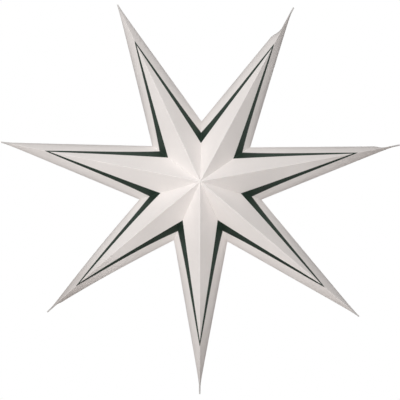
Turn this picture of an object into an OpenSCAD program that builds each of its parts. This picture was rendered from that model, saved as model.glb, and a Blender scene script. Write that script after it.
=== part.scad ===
// Paper star: seven hollow card points, glued edge to edge, with a tapered line printed on the front.
// Millimetres. X runs to the right, Y to the back, Z up. The origin is the bottom of the top valley,
// on the star's middle plane, where the star hangs.

/* [Star] */
// Reach of a point from the star's centre to its tip
tip_reach = 300; // [250:5:400]
// Distance from the star's centre to the bottom of a valley
valley_reach = 92; // [75:1:115]
// Depth from the middle plane to the front and to the back centre
half_depth = 85; // [50:1:110]

/* [Card] */
// Thickness of the card
card_t = 0.4; // [0.3:0.05:0.8]
// Width of the glue flaps inside each valley
flap_w = 9; // [5:0.5:14]
// Film of glue between two flaps
glue_t = 0.05; // [0.02:0.01:0.2]
// Round of a point's sides where they meet in a valley, as a share of the half depth
valley_roll = 0.08; // [0.04:0.01:0.3]
// Round of a point's sides further out, as a share of the half depth
side_roll = 0.3; // [0.1:0.05:0.6]

/* [Tips] */
// Length of the pinched needle past the place where a point's sides would meet
needle_len = 8; // [4:0.5:20]
// Width of the pinched needle
needle_w = 2.2; // [1:0.1:4]

/* [Printed line] */
// Distance from the centre to the line's outer corner in a valley
line_outer = 75.5; // [65:0.5:85]
// Width of the line in a valley
line_width = 17; // [4:0.5:25]
// How far the line's outer edge bows in, a third of the way from the valley to the ridge
line_bow_in = 1.25; // [0:0.05:3]
// How far the line's inner edge bows out at the same place
line_bow_out = 0.35; // [0:0.05:1]
// Distance from the centre to the line's outer corner on a ridge
line_outer_tip = 232; // [180:1:245]
// Width of the line on a ridge
line_tip_width = 8; // [3:0.5:20]
// Thickness of the printed layer
ink_t = 0.15; // [0.1:0.05:0.3]

/* [Hanging] */
// Radius of the notch in the top seam that a cord comes out of
notch_r = 4; // [2.5:0.5:6]
// How far the notch sits behind the middle plane
notch_back = 9; // [7:0.5:14]

/* [Hidden] */

card_colour = "#ece8e4";
line_colour = "#1f3a2c";

// The points are numbered from the one that hangs straight down, counter-clockwise from the front.
// Valley k lies between point k and point k + 1, so the top valley is number 3.
point_count = 7;
top_valley = 3;
half_angle = 180 / point_count;

// What folding by hand left on this star, one value a point or a valley:
// how much further each tip, each valley and each valley's corner of the line reaches,
// how far each valley strays round the star, counter-clockwise from the front, how far each tip
// strays to its side and how late along the point it does (1 is an even lean), how much longer
// each needle is, and how far before the tip a point's counter-clockwise side is pinched flat
tip_stray = [3, -1, -1, -2, -3.5, 2, -9.5];
valley_stray = [-1, -0.8, -0.5, 2, -0.3, 0.2, -2.5];
line_stray = [-1.3, 0.5, 0.5, -0.5, 1.2, 0.2, -0.5];
valley_turn = [0.15, 0, -0.5, 0, 0.25, 0.9, 0.35];
tip_sway = [1.6, -3, -4.5, -6.5, -2, 6.5, 8.3];
sway_late = [1, 1, 1, 1, 0.7, 1, 2.2];
needle_stray = [4, -4, 3, 2, -6, -4, 1];
pinch_before = [0, 0, 38, 56, 0, 0, 25];

// The printed layer floats this far off the card, so that the two never cut each other
ink_gap = 0.02;
// Share of a flap over which it tapers to nothing at the front and the back centre
flap_taper = 0.15;
flap_end = 0.02;
// Share of a point over which its sides ease from the valley's round to their own
roll_ease = 0.35;
// Share of that length over which a pinched side closes, and how much earlier the hollow in it does
pinch_share = 0.4;
pinch_lead = 6;
// The line's inner corners, in a valley and on a ridge
line_inner = line_outer - line_width;
line_inner_tip = line_outer_tip - line_tip_width;
// Steps along an edge of the line, as shares of the way from the valley to the ridge. The first
// one lies past the valley, so that the outline cuts right through the printed layer there.
line_steps = [-0.02, 0.2, 0.45, 0.7, 1];
// Makes s (1 - s)^2, the shape of a line's bow, 1 at its highest
bow_peak = 27 / 4;

// Columns from a ridge to the side, and how closely they crowd to the side
side_columns = 6;
column_crowd = 1.5;
ring_columns = 4 * side_columns;
// Rings from the valley to the tip, as shares of the way
ring_steps = [0.08, 0.17, 0.27, 0.38, 0.5, 0.63, 0.76, 0.87, 0.94, 0.98];
// The printed layer's own rings stop short of the tip
ink_steps = [for (t = ring_steps) if (t < 0.9) t];

function reach_of(k) = tip_reach + tip_stray[k];
function valley_of(k) = valley_reach + valley_stray[(k + point_count) % point_count];
function turn_of(k) = valley_turn[(k + point_count) % point_count];
function needle_of(k) = max(1, needle_len + needle_stray[k]);
// Angle from the middle of point k to its valley's plane on one side
function angle_of(k, side) = side > 0 ? half_angle + turn_of(k) : half_angle - turn_of(k - 1);
function ease(f) = let (c = min(1, max(0, f))) c * c * (3 - 2 * c);

// Outline of half a cross-section: 1 at the side, where u is 0, and 0 on a ridge, where u is 1 or -1
function roll(u, e) = (norm([1, e]) - norm([u, e])) / (norm([1, e]) - e);

// Depth share of a column: 1 on the front ridge, 0 at the side and -1 on the back ridge
function depth_share(w) = sign(w) * pow(abs(w), column_crowd);
function column_u(i) = depth_share(i <= 2 * side_columns ? 1 - i / side_columns
                                                         : i / side_columns - 3);
function column_side(i) = i <= 2 * side_columns ? 1 : -1;

// Unit normal of a point's nearly flat front face, in across, out and front directions
function face_normal(k) =
    let (fold = [0, reach_of(k), -half_depth],
         seam = [valley_reach * sin(half_angle), valley_reach * cos(half_angle), -half_depth],
         n = cross(seam, fold))
    n / norm(n);

// A surface that lies inset from the card's outer one: shift of its wedge along the point, loss of
// valley reach, half depth and reach
function wedge_shift(inset) = (glue_t / 2 + max(0, inset)) / sin(half_angle);
function valley_loss(k, inset) =
    let (n = face_normal(k), shift = wedge_shift(inset) - wedge_shift(0))
    (inset + n[1] * shift) / (n[0] * sin(half_angle) + n[1] * cos(half_angle));
function depth_loss(k, inset) =
    let (n = face_normal(k), shift = wedge_shift(inset) - wedge_shift(0))
    (inset + n[1] * shift) / n[2];
function side_slope(k) =
    atan2(valley_reach * sin(half_angle),
          reach_of(k) - needle_of(k) - valley_reach * cos(half_angle));
function ridge_loss(k, inset) = inset / face_normal(k)[1];
function side_loss(k, inset) = inset / sin(side_slope(k));

// Where the sides of point k leave the valley, and the reach at which they would meet
function side_start(k) = valley_reach * cos(half_angle);
function side_meet(k) = reach_of(k) - needle_of(k);

// A place on the edge of point k's sheet, in the plane of a valley: [across, back, out]
function seam_place(k, i, inset, scale = 1) =
    let (u = column_u(i),
         side = column_side(i),
         valley = valley_of(side > 0 ? k : k - 1) - valley_loss(k, inset),
         along = valley * roll(u, valley_roll) * scale,
         back = -(half_depth - depth_loss(k, inset)) * u * scale,
         angle = angle_of(k, side))
    [side * along * sin(angle), back, wedge_shift(inset) + along * cos(angle)];

// How far open the point still is on one side, 1 before a pinch and 0 past it
function opening(k, side, out) =
    side > 0 && pinch_before[k] > 0 ?
        1 - ease((out - reach_of(k) + pinch_before[k]) / (pinch_share * pinch_before[k]))
        : 1;

// A place on the card of point k, or on a surface inset from it, before the point sways. The last
// part of a point's sides is pinched to a needle of its own width.
function card_place(k, i, t, inset) =
    let (seam = seam_place(k, i, inset),
         inside = inset > 0,
         ridge_end = reach_of(k) - ridge_loss(k, inset),
         side_end = inside ? side_meet(k) - side_loss(k, inset) : ridge_end,
         out = seam[2] * (1 - t) + side_end * t,
         meet = (side_meet(k) - side_start(k)) / (reach_of(k) - side_start(k)),
         thin = needle_w / (valley_reach * sin(half_angle)),
         side = column_side(i),
         open = inside ? (1 - t) * opening(k, side, out + pinch_lead)
                       : max(0, 1 - t / meet) * opening(k, side, out),
         width = inside ? open : (open + norm([open, thin])) / 2,
         gone = (out - side_start(k)) / (reach_of(k) - side_start(k)),
         e = valley_roll + (side_roll - valley_roll) * ease(gone / roll_ease),
         valley = valley_of(side > 0 ? k : k - 1) - valley_loss(k, inset))
    [side * valley * sin(angle_of(k, side)) * roll(column_u(i), e) * width,
     seam[1] * (ridge_end - out) / (ridge_end - seam[2]),
     out];

// How far point k sways to its side at a share of the way from the valley's plane to the tip
function sway(k, share) = tip_sway[k] * pow(max(0, share), sway_late[k]);

// The same place once the point has swayed to its side
function bent(k, p, start) = [p[0] + sway(k, (p[2] - start) / (reach_of(k) - start)), p[1], -p[2]];

// The place on point k's card as the finished star has it
function folded_place(k, i, t, inset) =
    bent(k, card_place(k, i, t, inset), seam_place(k, i, inset)[2]);

// A place on a glue flap's free edge
function flap_place(k, i, inset) =
    let (u = abs(column_u(i)),
         run = valley_reach * half_depth / norm([valley_reach, half_depth]),
         taper = max(flap_end, min(1, (1 - u) / flap_taper)))
    seam_place(k, i, inset, 1 - taper * flap_w / run);

function upright(p) = [p[0], p[1], -p[2]];

// Rings of points, joined in order and closed by an apex at each end
function sleeve_faces(rings, columns) = [
    for (r = [0:rings - 2], i = [0:columns - 1])
        let (j = (i + 1) % columns, a = r * columns + i, b = r * columns + j, c = b + columns, d = a + columns)
        each i < columns / 2 ? [[a, b, c], [a, c, d]] : [[a, b, d], [b, c, d]],
    for (i = [0:columns - 1])
        [rings * columns, (i + 1) % columns, i],
    for (i = [0:columns - 1])
        [rings * columns + 1, (rings - 1) * columns + i, (rings - 1) * columns + (i + 1) % columns],
];

// One point: a card cone with a ridge at the front and the back, round sides, and a flap in each valley
module card_point(k) {
    last = len(ring_steps) - 1;
    columns = [0:ring_columns - 1];
    points = [
        for (r = [last:-1:0], i = columns)
            folded_place(k, i, ring_steps[r], card_t),
        for (i = columns) upright(seam_place(k, i, card_t)),
        for (i = columns) upright(flap_place(k, i, card_t)),
        for (i = columns) upright(flap_place(k, i, 0)),
        for (i = columns) upright(seam_place(k, i, 0)),
        for (r = [0:last], i = columns)
            folded_place(k, i, ring_steps[r], 0),
        bent(k, [0, 0, side_meet(k) - side_loss(k, card_t)], side_start(k)),
        bent(k, [0, 0, reach_of(k)], side_start(k)),
    ];
    polyhedron(points, sleeve_faces(2 * last + 6, ring_columns), convexity = 6);
}

// The front half of a point's outer surface, one printed layer thick
module ink_skin(k) {
    steps = concat([0], ink_steps);
    // Columns from near the left side over the front ridge to near the right side
    most = side_columns - 1;
    order = [for (c = [-most:most]) (c + ring_columns) % ring_columns];
    count = len(order);
    layer = count * len(steps);
    points = [
        for (inset = [-ink_gap, -ink_gap - ink_t], t = steps, i = order)
            folded_place(k, i, t, inset),
    ];
    rows = len(steps);
    inner = [
        for (r = [0:rows - 2], c = [0:count - 2])
            let (a = r * count + c, b = a + 1, d = a + count, e = d + 1)
            each c < most ? [[a, d, b], [b, d, e]] : [[a, e, b], [a, d, e]]
    ];
    outer = [for (f = inner) [f[2] + layer, f[1] + layer, f[0] + layer]];
    rim = concat(
        [for (c = [0:count - 1]) c],
        [for (r = [1:rows - 1]) r * count + count - 1],
        [for (c = [count - 2:-1:0]) (rows - 1) * count + c],
        [for (r = [rows - 2:-1:1]) r * count]
    );
    walls = [
        for (n = [0:len(rim) - 1])
            let (a = rim[n], b = rim[(n + 1) % len(rim)])
            each [[a, b, b + layer], [a, b + layer, a + layer]]
    ];
    polyhedron(points, concat(inner, outer, walls), convexity = 6);
}

// A place on an edge of point k's printed line, as the front shows it
function line_place(k, valley, ridge, bow, side, step) =
    let (inward = valley + line_stray[(side > 0 ? k : k + point_count - 1) % point_count],
         angle = angle_of(k, side),
         across = inward * sin(angle) * (1 - step) - bow * bow_peak * step * pow(1 - step, 2),
         out = inward * cos(angle) * (1 - step) + ridge * step,
         share = (out - across / tan(angle)) / reach_of(k))
    [side * across + sway(k, share), -out];

// Both halves of one edge, from the right valley over the ridge to the left valley
function line_edge(k, valley, ridge, bow) = [
    for (step = line_steps)
        line_place(k, valley, ridge, bow, 1, step),
    for (n = [len(line_steps) - 2:-1:0])
        line_place(k, valley, ridge, bow, -1, line_steps[n]),
];

// The chevron that point k carries, as the front shows it
module line_outline(k) {
    outer = line_edge(k, line_outer, line_outer_tip, line_bow_in);
    inner = line_edge(k, line_inner, line_inner_tip, -line_bow_out);
    polygon(concat(outer, [for (n = [len(inner) - 1:-1:0]) inner[n]]));
}

module printed_line(k) {
    intersection() {
        ink_skin(k);
        rotate([90, 0, 0])
            linear_extrude(half_depth + 10)
                line_outline(k);
    }
}

// Turns a point from hanging straight down to its own place around the centre
module placed(k) {
    translate([0, 0, -valley_of(top_valley)])
        rotate([0, -360 * k / point_count, 0])
            children();
}

// It runs from inside the star, below the flaps, to above the seam
module cord_notch() {
    translate([0, notch_back, -valley_reach / 2])
        cylinder(h = valley_reach, r = notch_r, $fn = 32);
}

module star_point(k) {
    color(card_colour)
        placed(k)
            card_point(k);
}

// The two points beside the top valley are notched for the cord
module end_point(k) {
    color(card_colour)
        difference() {
            placed(k)
                card_point(k);
            cord_notch();
        }
}

module bottom_point() { star_point(0); }
module lower_right_point() { star_point(1); }
module right_point() { star_point(2); }
module upper_right_point() { end_point(3); }
module upper_left_point() { end_point(4); }
module left_point() { star_point(5); }
module lower_left_point() { star_point(6); }

module printed_lines() {
    color(line_colour)
        for (k = [0:point_count - 1])
            placed(k)
                printed_line(k);
}

bottom_point();
lower_right_point();
right_point();
upper_right_point();
upper_left_point();
left_point();
lower_left_point();
printed_lines();
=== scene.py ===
"""Paper star: folded card points, a printed line and a plain studio, in metres in the CAD frame."""
import logging
import math
from dataclasses import dataclass, field
from enum import Enum
from typing import Optional, Union

import bmesh
import bpy
from mathutils import Euler, Matrix, Vector


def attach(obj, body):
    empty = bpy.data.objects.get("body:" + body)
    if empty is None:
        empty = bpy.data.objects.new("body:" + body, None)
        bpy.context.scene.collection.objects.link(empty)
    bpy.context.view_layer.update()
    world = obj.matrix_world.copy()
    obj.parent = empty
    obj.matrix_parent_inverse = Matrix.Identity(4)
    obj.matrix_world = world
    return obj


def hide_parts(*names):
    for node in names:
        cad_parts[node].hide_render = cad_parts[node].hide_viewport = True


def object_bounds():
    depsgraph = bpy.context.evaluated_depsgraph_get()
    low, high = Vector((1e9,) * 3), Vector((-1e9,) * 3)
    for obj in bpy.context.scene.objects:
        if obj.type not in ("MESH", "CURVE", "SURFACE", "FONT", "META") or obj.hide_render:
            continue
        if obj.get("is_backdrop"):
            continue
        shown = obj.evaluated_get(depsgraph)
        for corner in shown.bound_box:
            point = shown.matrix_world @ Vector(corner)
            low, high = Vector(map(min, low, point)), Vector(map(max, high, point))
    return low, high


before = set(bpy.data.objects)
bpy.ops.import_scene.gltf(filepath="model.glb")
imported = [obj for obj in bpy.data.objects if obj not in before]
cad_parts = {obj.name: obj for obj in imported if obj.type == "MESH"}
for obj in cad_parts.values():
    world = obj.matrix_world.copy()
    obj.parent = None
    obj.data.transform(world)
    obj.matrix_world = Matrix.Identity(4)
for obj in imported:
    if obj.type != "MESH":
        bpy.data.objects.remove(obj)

log = logging.getLogger("paper_star")

Number = Union[int, float]
Term = Union["Value", Number]
Colour = tuple[float, float, float]
Triple = tuple[float, float, float]
Range = tuple[float, float]

PAPER_IOR = 1.45


class Side(Enum):
    """The two halves of a point, seen from the front with its tip hanging down."""

    RIGHT = 1.0
    LEFT = -1.0


class Value:
    """One output socket, with arithmetic that adds Math nodes."""

    def __init__(self, graph: "Graph", socket: bpy.types.NodeSocket) -> None:
        """Keeps the socket and the graph that it belongs to."""
        self.graph = graph
        self.socket = socket

    def _math(self, operation: str, *terms: Term) -> "Value":
        """Adds one Math node.

        Args:
            operation: the node's operation.
            terms: its inputs, in order.

        Returns:
            The node's result.
        """
        inputs = dict(enumerate(terms))
        return self.graph.add("ShaderNodeMath", {"operation": operation}, inputs)

    def __add__(self, other: Term) -> "Value":
        """Sum."""
        return self._math("ADD", self, other)

    def __radd__(self, other: Number) -> "Value":
        """Sum with a number first."""
        return self._math("ADD", other, self)

    def __sub__(self, other: Term) -> "Value":
        """Difference."""
        return self._math("SUBTRACT", self, other)

    def __rsub__(self, other: Number) -> "Value":
        """Difference with a number first."""
        return self._math("SUBTRACT", other, self)

    def __mul__(self, other: Term) -> "Value":
        """Product."""
        return self._math("MULTIPLY", self, other)

    def __rmul__(self, other: Number) -> "Value":
        """Product with a number first."""
        return self._math("MULTIPLY", other, self)

    def above(self, level: Term) -> "Value":
        """The larger of this and a level."""
        return self._math("MAXIMUM", self, level)


@dataclass(frozen=True)
class Grain:
    """The look of one noise: features a metre, octaves, and how strong each finer octave is."""

    scale: float
    detail: float
    rough: float


@dataclass(frozen=True)
class Uneven:
    """An amount that follows a noise: the least of it, and what the noise adds."""

    least: float
    more: float

    def on(self, noise: Value) -> Value:
        """The amount on that noise."""
        return self.least + self.more * noise


class Graph:
    """A node tree that is written as expressions."""

    def __init__(self, tree: bpy.types.NodeTree) -> None:
        """Empties the tree."""
        self.tree = tree
        tree.nodes.clear()

    def add(
        self,
        kind: str,
        settings: Optional[dict[str, object]] = None,
        inputs: Optional[dict[Union[int, str], object]] = None,
        output: Union[int, str] = 0,
    ) -> Value:
        """Adds a node.

        Args:
            kind: the node's type.
            settings: its own properties, set first.
            inputs: values or links for its sockets, by name or number.
            output: the output that is wanted.

        Returns:
            That output.
        """
        node = self.tree.nodes.new(kind)
        for name, setting in (settings or {}).items():
            setattr(node, name, setting)
        for key, value in (inputs or {}).items():
            if isinstance(value, Value):
                self.tree.links.new(value.socket, node.inputs[key])
            else:
                node.inputs[key].default_value = value
        return Value(self, node.outputs[output]) if len(node.outputs) else Value(self, None)

    def blend(self, share: Term, first: object, second: object) -> Value:
        """Mixes two colours.

        Args:
            share: how much of the second one there is.
            first: a colour or a link.
            second: a colour or a link.

        Returns:
            The mixed colour.
        """
        colours = [(*c, 1.0) if isinstance(c, tuple) else c for c in (first, second)]
        return self.add(
            "ShaderNodeMix",
            {"data_type": "RGBA", "blend_type": "MIX"},
            {0: share, 6: colours[0], 7: colours[1]},
            2,
        )

    def smooth(self, value: Value, low: float, high: float) -> Value:
        """A soft step from 0 at low to 1 at high."""
        return self.add(
            "ShaderNodeMapRange",
            {"interpolation_type": "SMOOTHSTEP"},
            {0: value, 1: low, 2: high, 3: 0.0, 4: 1.0},
        )

    def clouds(self, place: Value, grain: Grain) -> Value:
        """Noise around 0.5 on a place."""
        inputs = {
            "Vector": place, "Scale": grain.scale, "Detail": grain.detail, "Roughness": grain.rough,
        }
        return self.add("ShaderNodeTexNoise", {"noise_dimensions": "3D"}, inputs)

    def attribute(self, name: str) -> Value:
        """A number that every corner of the mesh holds."""
        return self.add("ShaderNodeAttribute", {"attribute_name": name}, output="Fac")

    def rays(self, first: str, *others: str) -> Value:
        """Tells rays apart.

        Args:
            first: an output of the Light Path node.
            others: further outputs of it.

        Returns:
            1 on a ray of any of these kinds and 0 on others.
        """
        share = self.add("ShaderNodeLightPath", output=first)
        for kind in others:
            share = share.above(self.add("ShaderNodeLightPath", output=kind))
        return share

    def relief(self, height: Value, strength: float, distance: float) -> Value:
        """The normal of a surface with fine relief."""
        return self.add(
            "ShaderNodeBump", {}, {"Strength": strength, "Distance": distance, "Height": height}
        )

    def cover(self, colour: Value, rough: Value, normal: Value, shine: float) -> None:
        """Ends the tree with a paper surface.

        Args:
            colour: its base colour.
            rough: its roughness.
            normal: its normal.
            shine: its specular level.
        """
        shader = self.add(
            "ShaderNodeBsdfPrincipled",
            {},
            {"Base Color": colour, "Roughness": rough, "Normal": normal, "IOR": PAPER_IOR,
             "Specular IOR Level": shine},
        )
        self.add("ShaderNodeOutputMaterial", {}, {"Surface": shader})


def new_material(name: str) -> tuple[bpy.types.Material, Graph]:
    """A material and its empty graph.

    Args:
        name: the material's name.

    Returns:
        Both.
    """
    material = bpy.data.materials.new(name)
    material.use_nodes = True
    return material, Graph(material.node_tree)


@dataclass(frozen=True)
class CardFinish:
    """White card: faint fibres and clouds, folds lighter from rubbing and from a painted highlight,
    painted shade growing towards the tips, and the very tips greyer.
    """

    white: Colour = (0.815, 0.775, 0.754)
    cloud: Colour = (0.775, 0.735, 0.714)
    # Lighter colour of rubbed folds, which also paints a highlight along the ridges
    rubbed_and_highlight: Colour = (0.87, 0.845, 0.825)
    # Grey of the very tips
    tip_grey: Colour = (0.46, 0.45, 0.44)
    # Brown of the painted shade towards the tips
    shade_brown: Colour = (0.34, 0.295, 0.27)
    roughness: Uneven = Uneven(0.66, 0.12)
    crease_roughness: float = 0.1
    shine: float = 0.28
    fibres: Grain = Grain(900.0, 4.0, 0.6)
    felt: Grain = Grain(160.0, 3.0, 0.55)
    clouds: Grain = Grain(22.0, 2.0, 0.5)
    mottle_mix: Triple = (0.55, 0.3, 0.15)
    mottle_share: float = 0.55
    mottle_range: Range = (0.35, 0.7)
    crease_range: Range = (0.00021, 0.00112)
    pinch_range: Range = (0.92, 0.985)
    # Shares of the lighter fold colour with its painted highlight, of the painted shade towards the
    # tips, and of the grey at the very tips
    scuff_and_highlight: Uneven = Uneven(0.02, 0.08)
    shade_strength: Uneven = Uneven(0.85, 0.3)
    pinch: Uneven = Uneven(0.6, 0.2)
    relief_mix: tuple[float, float] = (0.75, 0.25)
    relief_strength: float = 0.12
    relief_height: float = 0.0002

    def make(self) -> bpy.types.Material:
        """Builds the material.

        Returns:
            The card.
        """
        material, graph = new_material("white_card")
        place = graph.add("ShaderNodeTexCoord", output="Object")
        fibres = graph.clouds(place, self.fibres)
        felt = graph.clouds(place, self.felt)
        cloud = graph.clouds(place, self.clouds)

        wide, middle, fine = self.mottle_mix
        mottle = graph.smooth(wide * cloud + middle * felt + fine * fibres, *self.mottle_range)
        creased = 1.0 - graph.smooth(graph.attribute("fold"), *self.crease_range)
        pinched = graph.smooth(graph.attribute("tip"), *self.pinch_range)

        colour = graph.blend(mottle * self.mottle_share, self.white, self.cloud)
        # Folds lighter: rubbed card, and a painted highlight along the ridges
        colour = graph.blend(creased * self.scuff_and_highlight.on(felt), colour, self.rubbed_and_highlight)
        # Painted shade: brown darkening towards the tips, most at the sides
        colour = graph.blend(graph.attribute("painted_shade") * self.shade_strength.on(felt), colour, self.shade_brown)
        # The very tips greyer
        colour = graph.blend(pinched * self.pinch.on(felt), colour, self.tip_grey)

        height = self.relief_mix[0] * felt + self.relief_mix[1] * fibres
        normal = graph.relief(height, self.relief_strength, self.relief_height)
        rough = self.roughness.on(felt) + self.crease_roughness * creased
        graph.cover(colour, rough, normal, self.shine)
        return material


@dataclass(frozen=True)
class InkFinish:
    """Dark green print, a little denser in places and thinner where the card is folded."""

    green: Colour = (0.009, 0.023, 0.014)
    dense: Colour = (0.005, 0.014, 0.009)
    worn: Colour = (0.03, 0.045, 0.035)
    roughness: Uneven = Uneven(0.47, 0.16)
    shine: float = 0.3
    grain: Grain = Grain(700.0, 3.0, 0.6)
    clouds: Grain = Grain(60.0, 3.0, 0.55)
    dense_share: float = 0.7
    dense_range: Range = (0.38, 0.68)
    crease_range: Range = (0.0002, 0.0009)
    wear: Uneven = Uneven(0.15, 0.5)
    relief_strength: float = 0.15
    relief_height: float = 0.00015

    def make(self) -> bpy.types.Material:
        """Builds the material.

        Returns:
            The print.
        """
        material, graph = new_material("green_print")
        place = graph.add("ShaderNodeTexCoord", output="Object")
        grain = graph.clouds(place, self.grain)
        denser = graph.smooth(graph.clouds(place, self.clouds), *self.dense_range)
        creased = 1.0 - graph.smooth(graph.attribute("fold"), *self.crease_range)

        colour = graph.blend(denser * self.dense_share, self.green, self.dense)
        colour = graph.blend(creased * self.wear.on(grain), colour, self.worn)
        normal = graph.relief(grain, self.relief_strength, self.relief_height)
        graph.cover(colour, self.roughness.on(grain), normal, self.shine)
        return material


@dataclass(frozen=True)
class FloorFinish:
    """Pale floor that keeps the star's shadow and fades to the white surroundings further out."""

    pale: Colour = (0.82, 0.79, 0.77)
    clear_from: float = 0.75
    clear_to: float = 1.25

    def make(self) -> bpy.types.Material:
        """Builds the material.

        Returns:
            The floor.
        """
        material, graph = new_material("pale_floor")
        place = graph.add("ShaderNodeTexCoord", output="Object")
        flat = graph.add("ShaderNodeVectorMath", {"operation": "MULTIPLY"},
                         {0: place, 1: (1.0, 1.0, 0.0)})
        away = graph.add("ShaderNodeVectorMath", {"operation": "LENGTH"}, {0: flat}, "Value")
        seen = graph.rays("Is Camera Ray", "Is Glossy Ray")
        share = graph.smooth(away, self.clear_from, self.clear_to) * seen
        cloth = graph.add("ShaderNodeBsdfDiffuse", {}, {"Color": (*self.pale, 1.0)})
        clear = graph.add("ShaderNodeBsdfTransparent", {}, {"Color": (1.0, 1.0, 1.0, 1.0)})
        shader = graph.add("ShaderNodeMixShader", {}, {0: share, 1: cloth, 2: clear})
        graph.add("ShaderNodeOutputMaterial", {}, {"Surface": shader})
        return material


@dataclass(frozen=True)
class Hand:
    """What folding by hand left on one point and on the valley that follows it counter-clockwise,
    and the painted shade on the point.

    Lengths are in metres and the turn in degrees.

    Attributes:
        name: the CAD node.
        reach: how much further the tip reaches.
        sway: how far the tip strays to its side.
        valley: how much further the valley reaches.
        line: how much further the line's corner in the valley reaches.
        turn: how far the valley strays round the star.
        needle: how much longer the needle is.
        painted_shade: how much painted shade darkens the point towards its tip, on the
            counter-clockwise side and the other one.
        late: how late along the point the sway comes; 1 is an even lean.
        pinch: how far before the tip the counter-clockwise side is pressed flat.
        fold: the round of the ridge.
    """

    name: str
    reach: float
    sway: float
    valley: float
    line: float
    turn: float
    needle: float
    painted_shade: tuple[float, float]
    late: float = 1.0
    pinch: float = 0.0
    fold: float = 0.00008


# The pairs hold the painted shade towards each tip, mostly larger on the side turned away from the
# lamps
HANDS = (
    Hand("bottom_point", 0.003, 0.0016, -0.001, -0.0013, 0.15, 0.004, (0.4, 0.05)),
    Hand(
        "lower_right_point", -0.001, -0.003, -0.0008, 0.0005, 0.0, -0.004, (0.05, 0.3),
        fold=0.00016,
    ),
    Hand("right_point", -0.001, -0.0045, -0.0005, 0.0005, -0.5, 0.003, (0.1, 0.55), pinch=0.038),
    Hand(
        "upper_right_point", -0.002, -0.0065, 0.002, -0.0005, 0.0, 0.002, (0.05, 0.3),
        pinch=0.056,
    ),
    Hand("upper_left_point", -0.0035, -0.002, -0.0003, 0.0012, 0.25, -0.006, (0.1, 0.1), late=0.7),
    Hand("left_point", 0.002, 0.0065, 0.0002, 0.0002, 0.9, -0.004, (0.25, 0.05)),
    Hand(
        "lower_left_point", -0.0095, 0.0083, -0.0025, -0.0005, 0.35, 0.001, (0.75, 0.6),
        late=2.2, pinch=0.025,
    ),
)

# The valley after this point is the top one, which the star hangs from, at the origin
TOP_VALLEY = 3

# What counts as nothing, in metres or as a share
TINY = 1e-6

# Enough halvings for the last digit of a share
HALVINGS = 40

# Brings the highest value of s(1 - s)(1 - s) to 1
BOW_PEAK = 6.75


def ease(share: float) -> float:
    """A soft step from 0 to 1."""
    held = min(1.0, max(0.0, share))
    return held * held * (3.0 - 2.0 * held)


def rolled(depth: float, soft: float) -> float:
    """Outline of half a cross-section: 1 at the side, where depth is 0, and 0 on a ridge."""
    corner = math.hypot(1.0, soft)
    return (corner - math.hypot(depth, soft)) / (corner - soft)


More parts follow.
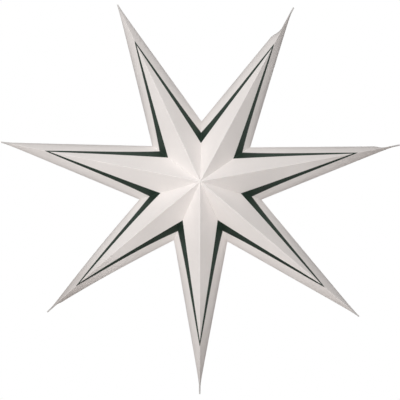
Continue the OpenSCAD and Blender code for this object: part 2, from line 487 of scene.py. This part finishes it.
@dataclass
class PointShape:
    """The folded surface of one point, in its own frame: across, back and out along the point.

    A ridge is rounded only near it, and by no more than a share of the point's width there.
    """

    number: int
    reach: float = 0.300
    valley: float = 0.092
    half_depth: float = 0.085
    glue: float = 0.00005
    valley_roll: float = 0.08
    side_roll: float = 0.3
    roll_ease: float = 0.35
    needle_length: float = 0.008
    needle_width: float = 0.0022
    pinch_share: float = 0.4
    shortest_needle: float = 0.001
    # Where the painted shade towards the tip begins, how far it grows, and how much less of it the
    # ridge gets
    shade_from: float = 0.45
    shade_run: float = 0.5
    shade_ridge: float = 0.5
    fold_from: float = 0.6
    fold_run: float = 0.3
    fold_limit: float = 0.12

    def __post_init__(self) -> None:
        """Works out what every place on the point needs."""
        self.hand = HANDS[self.number]
        self.half_angle = math.pi / len(HANDS)
        self.sin = math.sin(self.half_angle)
        self.cos = math.cos(self.half_angle)
        self.tip = self.reach + self.hand.reach
        self.meet = self.tip - max(self.shortest_needle, self.needle_length + self.hand.needle)
        self.start = self.valley * self.cos
        self.wedge = self.glue / 2.0 / self.sin
        self.thin = self.needle_width / (self.valley * self.sin)
        self.meet_share = (self.meet - self.start) / (self.tip - self.start)

    def hand_beside(self, side: Side) -> Hand:
        """The hand that holds the valley on that side."""
        return HANDS[self.number if side is Side.RIGHT else self.number - 1]

    def valley_beside(self, side: Side) -> float:
        """Distance from the centre to the valley on that side."""
        return self.valley + self.hand_beside(side).valley

    def angle_beside(self, side: Side) -> float:
        """Angle from the point's middle to the valley's plane on that side."""
        return self.half_angle + side.value * math.radians(self.hand_beside(side).turn)

    def seam_out(self, depth: float, side: Side) -> float:
        """How far out a place on the valley's plane lies."""
        along = self.valley_beside(side) * rolled(depth, self.valley_roll)
        return self.wedge + along * math.cos(self.angle_beside(side))

    def opening(self, side: Side, out: float) -> float:
        """How far open a side still is.

        Args:
            side: the half of the point.
            out: distance along the point.

        Returns:
            1 before a pinch and 0 past it.
        """
        if side is Side.LEFT or not self.hand.pinch:
            return 1.0
        run = self.pinch_share * self.hand.pinch
        return 1.0 - ease((out - self.tip + self.hand.pinch) / run)

    def half_width(self, depth: float, side: Side, out: float) -> float:
        """How far across the surface lies.

        Args:
            depth: share of the depth, 1 on the front ridge and 0 at the side.
            side: the half of the point.
            out: distance along the point.

        Returns:
            The distance from the point's middle.
        """
        start = self.seam_out(depth, side)
        share = (out - start) / (self.tip - start)
        gone = (out - self.start) / (self.tip - self.start)
        soft = self.valley_roll + (self.side_roll - self.valley_roll) * ease(gone / self.roll_ease)
        left = max(0.0, 1.0 - share / self.meet_share) * self.opening(side, out)
        width = (left + math.hypot(left, self.thin)) / 2.0
        widest = self.valley_beside(side) * math.sin(self.angle_beside(side))
        return widest * rolled(depth, soft) * width

    def place(self, depth: float, side: Side, out: float) -> Vector:
        """A place on the card before the point sways.

        Args:
            depth: share of the depth, 1 on the front ridge and -1 on the back ridge.
            side: the half of the point.
            out: distance along the point.

        Returns:
            Across, back and out.
        """
        start = self.seam_out(depth, side)
        left = (self.tip - out) / (self.tip - start)
        across = self.half_width(depth, side, out)
        side_width = sum(self.half_width(0.0, half, out) for half in Side) / 2.0
        back = -self.half_depth * depth * left
        soft = min(self.hand.fold, self.fold_limit * side_width)
        slope = self.half_depth * left / max(side_width, TINY)
        near = ease((abs(depth) - self.fold_from) / self.fold_run)
        lost = near * slope * (math.hypot(across, soft) - across)
        back += math.copysign(min(lost, abs(back)), depth)
        return Vector((side.value * across, back, out))

    def painted_shade(self, depth: float, side: Side, share: float) -> float:
        """How much painted shade darkens a place, growing towards the tip and most of all at the
        sides.

        Args:
            depth: share of the depth.
            side: the half of the point.
            share: the way from the valley to the tip.

        Returns:
            The share of grubby colour.
        """
        worst = self.hand.painted_shade[0 if side is Side.RIGHT else 1]
        grown = ease((share - self.shade_from) / self.shade_run)
        return worst * grown * (1.0 - self.shade_ridge * abs(depth))

    def swayed(self, spot: Vector, start: float) -> Vector:
        """A place once the point has swayed to its side.

        Args:
            spot: across, back and out.
            start: how far out the valley's plane is at that depth.

        Returns:
            Across, back and out.
        """
        share = max(0.0, (spot.z - start) / (self.tip - start))
        return Vector((spot.x + self.hand.sway * share ** self.hand.late, spot.y, spot.z))

    def depth_at(self, across: float, side: Side, out: float) -> float:
        """The front surface's share of the depth at a place that the front shows.

        Args:
            across: distance from the point's middle.
            side: the half of the point.
            out: distance along the point.

        Returns:
            The share, found by halving.
        """
        low, high = 0.0, 1.0
        for _ in range(HALVINGS):
            middle = (low + high) / 2.0
            if self.half_width(middle, side, out) > across:
                low = middle
            else:
                high = middle
        return (low + high) / 2.0

    def turned(self) -> Matrix:
        """Works out where the point sits in the star.

        Returns:
            The turn and the shift from the point's own frame to the star's.
        """
        centre = self.valley + HANDS[TOP_VALLEY].valley
        turn = Matrix.Rotation(-2.0 * math.pi * self.number / len(HANDS), 4, "Y")
        return Matrix.Translation((0.0, 0.0, -centre)) @ turn


def make_object(
    name: str, mesh: bmesh.types.BMesh, material: bpy.types.Material
) -> bpy.types.Object:
    """Turns a finished bmesh into an object at the origin.

    Args:
        name: the object's name.
        mesh: its mesh, which is freed.
        material: its only material.

    Returns:
        The object, linked to the scene.
    """
    data = bpy.data.meshes.new(name)
    mesh.to_mesh(data)
    mesh.free()
    data.materials.append(material)
    thing = bpy.data.objects.new(name, data)
    bpy.context.scene.collection.objects.link(thing)
    return thing


def settle(thing: bpy.types.Object) -> None:
    """Applies an object's modifiers to its mesh.

    Args:
        thing: the object, which loses its modifiers.
    """
    graph = bpy.context.evaluated_depsgraph_get()
    data = bpy.data.meshes.new_from_object(thing.evaluated_get(graph))
    thing.modifiers.clear()
    thing.data = data


@dataclass
class CardPoint:
    """One folded card point, with its glue flaps."""

    number: int
    columns: int = 96
    rows: int = 76
    wall: float = 0.00035
    flap: float = 0.009
    flap_taper: float = 0.15
    flap_end: float = 0.02
    notch_radius: float = 0.004
    notch_back: float = 0.009
    notch_segments: int = 48
    row_crowd: float = 1.5
    thin_tip: float = 0.09
    thin_flap: float = 0.2
    thinnest: float = 0.02
    shape: PointShape = field(init=False)

    def __post_init__(self) -> None:
        """Takes the shape of its number."""
        self.shape = PointShape(self.number)

    @property
    def name(self) -> str:
        """The CAD node that this card stands for."""
        return self.shape.hand.name

    def _wrap(self, bm: bmesh.types.BMesh) -> None:
        """Wraps the flat grid round the point.

        Args:
            bm: the grid, whose middle column becomes the front ridge.
        """
        shape = self.shape
        fold = bm.verts.layers.float.new("fold")
        tip = bm.verts.layers.float.new("tip")
        painted_shade = bm.verts.layers.float.new("painted_shade")
        for vert in bm.verts:
            side = Side.RIGHT if vert.co.x >= 0.0 else Side.LEFT
            face = 1.0 - 2.0 * abs(vert.co.x)
            depth = math.copysign((1.0 - math.cos(math.pi * face)) / 2.0, face)
            share = 1.0 - (1.0 - (vert.co.y + 1.0) / 2.0) ** self.row_crowd
            start = shape.seam_out(depth, side)
            out = start + (shape.tip - start) * share
            spot = shape.place(depth, side, out)
            if share > 1.0 - TINY:
                spot = Vector((0.0, 0.0, shape.tip))
            vert[fold] = abs(spot.x)
            vert[tip] = share
            # How much painted shade this place gets
            vert[painted_shade] = shape.painted_shade(depth, side, share)
            vert.co = shape.swayed(spot, start)

    def _add_flaps(self, bm: bmesh.types.BMesh) -> None:
        """Extrudes the mouth's edge inwards along the valleys' planes.

        Args:
            bm: the wrapped card.
        """
        shape = self.shape
        mouth = [edge for edge in bm.edges if edge.is_boundary]
        for edge in mouth:
            edge.smooth = False
        grown = bmesh.ops.extrude_edge_only(bm, edges=mouth)["geom"]
        run = shape.valley * shape.half_depth / math.hypot(shape.valley, shape.half_depth)
        for vert in (part for part in grown if isinstance(part, bmesh.types.BMVert)):
            depth = min(1.0, abs(vert.co.y) / shape.half_depth)
            taper = max(self.flap_end, min(1.0, (1.0 - depth) / self.flap_taper))
            scale = 1.0 - taper * self.flap / run
            vert.co.x *= scale
            vert.co.y *= scale
            vert.co.z = shape.wedge + (vert.co.z - shape.wedge) * scale

    def _notch(self, thing: bpy.types.Object) -> None:
        """Cuts the cord's notch out of the card.

        Args:
            thing: a card point beside the top valley.
        """
        bm = bmesh.new()
        bmesh.ops.create_cone(
            bm, cap_ends=True, segments=self.notch_segments, radius1=self.notch_radius,
            radius2=self.notch_radius, depth=self.shape.valley,
            matrix=Matrix.Translation((0.0, self.notch_back, 0.0)),
        )
        cutter = make_object("notch_cutter", bm, thing.data.materials[0])
        cut = thing.modifiers.new("notch", "BOOLEAN")
        cut.operation = "DIFFERENCE"
        cut.solver = "MANIFOLD"
        cut.object = cutter
        settle(thing)
        bpy.data.objects.remove(cutter, do_unlink=True)

    def build(self, card: bpy.types.Material) -> bpy.types.Object:
        """Builds the card point.

        Args:
            card: its material.

        Returns:
            The point, with a wall of card.
        """
        shape = self.shape
        bm = bmesh.new()
        bm.loops.layers.uv.new("sheet")
        bmesh.ops.create_grid(
            bm, x_segments=self.columns, y_segments=self.rows, size=1.0, calc_uvs=True
        )
        self._wrap(bm)
        bmesh.ops.remove_doubles(bm, verts=bm.verts, dist=TINY)
        self._add_flaps(bm)
        bmesh.ops.scale(bm, vec=(1.0, 1.0, -1.0), verts=bm.verts)
        bmesh.ops.recalc_face_normals(bm, faces=bm.faces)
        widest = max(bm.faces, key=lambda face: face.calc_center_median().x)
        if widest.normal.x < 0.0:
            bmesh.ops.reverse_faces(bm, faces=bm.faces)
        bmesh.ops.transform(bm, matrix=shape.turned(), verts=bm.verts)
        for face in bm.faces:
            face.smooth = True
        thing = make_object(f"{self.name}_card", bm, card)
        self._add_wall(thing)
        if self.number in (TOP_VALLEY, TOP_VALLEY + 1):
            self._notch(thing)
        return thing

    def _add_wall(self, thing: bpy.types.Object) -> None:
        """Gives the card its thickness, inwards, thinning where the tip is pinched.

        Args:
            thing: the card point.
        """
        group = thing.vertex_groups.new(name="wall")
        tips = [tip.value for tip in thing.data.attributes["tip"].data]
        depths = [abs(vert.co.y) / self.shape.half_depth for vert in thing.data.vertices]
        for number, (tip, depth) in enumerate(zip(tips, depths)):
            room = (1.0 - tip) / self.thin_tip if tip > 0.0 else (1.0 - depth) / self.thin_flap
            group.add([number], max(self.thinnest, min(1.0, room)), "REPLACE")
        wall = thing.modifiers.new("wall", "SOLIDIFY")
        wall.thickness = self.wall
        wall.offset = -1.0
        wall.use_even_offset = False
        wall.vertex_group = "wall"


@dataclass
class PrintedLine:
    """The tapered green line on the front of one point."""

    number: int
    steps: int = 180
    bands: int = 8
    outer: float = 0.0755
    inner: float = 0.0585
    outer_tip: float = 0.232
    inner_tip: float = 0.224
    bow_in: float = 0.00125
    bow_out: float = 0.00035
    lift: float = 0.00009
    layer_share: float = 0.6
    step_crowd: float = 1.15
    shape: PointShape = field(init=False)

    def __post_init__(self) -> None:
        """Takes the shape of its number."""
        self.shape = PointShape(self.number)

    def _edge(self, corner: float, ridge: float, bow: float, side: Side, step: float) -> Vector:
        """A place on one edge of the line.

        Args:
            corner: the edge's distance from the centre in a valley.
            ridge: its distance from the centre on the ridge.
            bow: how far it bows in, a third of the way from the valley to the ridge.
            side: the half of the point.
            step: 0 in the valley and 1 on the ridge.

        Returns:
            Across, nothing and out.
        """
        shape = self.shape
        inward = corner + shape.hand_beside(side).line
        angle = shape.angle_beside(side)
        bowed = BOW_PEAK * bow * step * (1.0 - step) ** 2
        across = inward * math.sin(angle) * (1.0 - step) - bowed
        out = inward * math.cos(angle) * (1.0 - step) + ridge * step
        return Vector((max(0.0, across), 0.0, out))

    def strip(self, bm: bmesh.types.BMesh) -> None:
        """Adds this point's line to a bmesh.

        Args:
            bm: the bmesh that all the lines go into.
        """
        shape = self.shape
        fold = bm.verts.layers.float["fold"]
        made = bmesh.ops.create_grid(
            bm, x_segments=self.steps, y_segments=self.bands, size=1.0, calc_uvs=True
        )["verts"]
        for vert in made:
            side = Side.RIGHT if vert.co.x >= 0.0 else Side.LEFT
            step = 1.0 - abs(vert.co.x) ** self.step_crowd
            share = (vert.co.y + 1.0) / 2.0
            near = self._edge(self.inner, self.inner_tip, -self.bow_out, side, step)
            far = self._edge(self.outer, self.outer_tip, self.bow_in, side, step)
            flat = near.lerp(far, share)
            depth = shape.depth_at(flat.x, side, flat.z)
            spot = shape.place(depth, side, flat.z)
            vert[fold] = abs(spot.x)
            vert.co = shape.swayed(spot, shape.seam_out(depth, side))
        bmesh.ops.scale(bm, vec=(1.0, 1.0, -1.0), verts=made)
        bmesh.ops.transform(bm, matrix=shape.turned(), verts=made)


@dataclass
class PaperStar:
    """The whole star: seven card points and the printed line on them."""

    card: CardFinish = CardFinish()
    ink: InkFinish = InkFinish()

    def build_points(self) -> None:
        """Builds and dresses the seven points."""
        material = self.card.make()
        for number, hand in enumerate(HANDS):
            thing = CardPoint(number).build(material)
            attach(thing, "root")
            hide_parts(hand.name)
            log.info("%s: %d faces", thing.name, len(thing.data.polygons))

    def build_lines(self) -> None:
        """Builds the printed lines as one piece."""
        bm = bmesh.new()
        bm.loops.layers.uv.new("strip")
        bm.verts.layers.float.new("fold")
        lines = [PrintedLine(number) for number in range(len(HANDS))]
        for line in lines:
            line.strip(bm)
        bmesh.ops.remove_doubles(bm, verts=bm.verts, dist=TINY)
        bm.normal_update()
        for face in bm.faces:
            face.smooth = True
            if face.normal.y > 0.0:
                face.normal_flip()
        bm.normal_update()
        for vert in bm.verts:
            vert.co += vert.normal * lines[0].lift
        thing = make_object("printed_lines_ink", bm, self.ink.make())
        skin = thing.modifiers.new("layer", "SOLIDIFY")
        skin.thickness = lines[0].lift * lines[0].layer_share
        skin.offset = -1.0
        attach(thing, "root")
        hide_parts("printed_lines")
        log.info("%s: %d faces", thing.name, len(thing.data.polygons))


@dataclass(frozen=True)
class Lamp:
    """A soft rectangular light that faces the star."""

    name: str
    place: Triple
    size: tuple[float, float]
    power: float

    def make(self, target: Vector) -> None:
        """Hangs the lamp and turns it to the star.

        Args:
            target: the place that it is hung from and faces.
        """
        data = bpy.data.lights.new(self.name, "AREA")
        data.shape = "RECTANGLE"
        data.size, data.size_y = self.size
        data.energy = self.power
        lamp = bpy.data.objects.new(self.name, data)
        lamp.location = target + Vector(self.place)
        lamp.rotation_euler = (-Vector(self.place)).to_track_quat("-Z", "Y").to_euler()
        bpy.context.scene.collection.objects.link(lamp)


@dataclass
class Studio:
    """Camera, soft lamps, white surroundings and the floor."""

    centre: Vector = field(default_factory=lambda: Vector((0.0, 0.0, -0.094)))
    distance: float = 1.3
    tilt: Triple = (-3.53, 0.56, -0.67)
    lens: float = 79.71
    shift: tuple[float, float] = (-0.002, -0.037)
    drop: float = 0.6
    sensor: float = 36.0
    far: float = 50.0
    floor_size: float = 10.0
    ambient: Colour = (0.045, 0.04, 0.037)
    lamps: tuple[Lamp, ...] = (
        Lamp("front_softbox", (0.0, -1.2, 0.0), (0.5, 0.5), 10.0),
        Lamp("upper_softbox", (0.0, -1.0, 0.7), (0.5, 0.5), 4.3),
        Lamp("left_softbox", (-0.8, -0.9, 0.0), (0.5, 0.5), 3.7),
        Lamp("back_softbox", (0.3, 1.2, 0.3), (0.6, 0.6), 14.0),
    )

    def add_camera(self) -> None:
        """Places the camera where the photograph was taken from."""
        turn = Euler([math.radians(angle) for angle in self.tilt], "XYZ").to_matrix().transposed()
        data = bpy.data.cameras.new("camera")
        data.lens = self.lens
        data.sensor_width = self.sensor
        data.shift_x, data.shift_y = self.shift
        data.clip_end = self.far
        camera = bpy.data.objects.new("camera", data)
        upright = turn @ Matrix.Rotation(math.pi / 2.0, 3, "X")
        camera.matrix_world = (
            Matrix.Translation(self.centre + turn @ Vector((0.0, -self.distance, 0.0)))
            @ upright.to_4x4()
        )
        bpy.context.scene.collection.objects.link(camera)
        bpy.context.scene.camera = camera

    def add_world(self) -> None:
        """Gives grey light all round, and white to the camera and to reflections."""
        world = bpy.data.worlds.new("studio_world")
        world.use_nodes = True
        graph = Graph(world.node_tree)
        seen = graph.rays("Is Camera Ray", "Is Glossy Ray", "Is Transmission Ray")
        colour = graph.blend(seen, self.ambient, (1.0, 1.0, 1.0))
        light = graph.add("ShaderNodeBackground", {}, {"Color": colour, "Strength": 1.0})
        graph.add("ShaderNodeOutputWorld", {}, {"Surface": light})
        bpy.context.scene.world = world

    def add_floor(self, lowest: float) -> None:
        """Lays the floor below the hanging star.

        Args:
            lowest: the height of the star's lowest tip.
        """
        bm = bmesh.new()
        bmesh.ops.create_grid(
            bm, x_segments=2, y_segments=2, size=self.floor_size,
            matrix=Matrix.Translation((0.0, 0.0, lowest - self.drop)),
        )
        make_object("floor", bm, FloorFinish().make())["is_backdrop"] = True

    def build(self, lowest: float) -> None:
        """Builds the studio.

        Args:
            lowest: the height of the star's lowest tip.
        """
        self.add_camera()
        self.add_world()
        self.add_floor(lowest)
        for lamp in self.lamps:
            lamp.make(self.centre)
        bpy.context.scene.view_settings.view_transform = "Standard"


def plain_box() -> list[list[float]]:
    """The shown object's box as plain lists of numbers."""
    return [[float(number) for number in corner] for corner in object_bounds()]


def main() -> None:
    """Builds the studio and the star."""
    logging.basicConfig(level=logging.INFO, format="%(message)s")
    cad = plain_box()
    Studio().build(cad[0][2])
    star = PaperStar()
    star.build_points()
    star.build_lines()


if __name__ == "__main__":
    main()
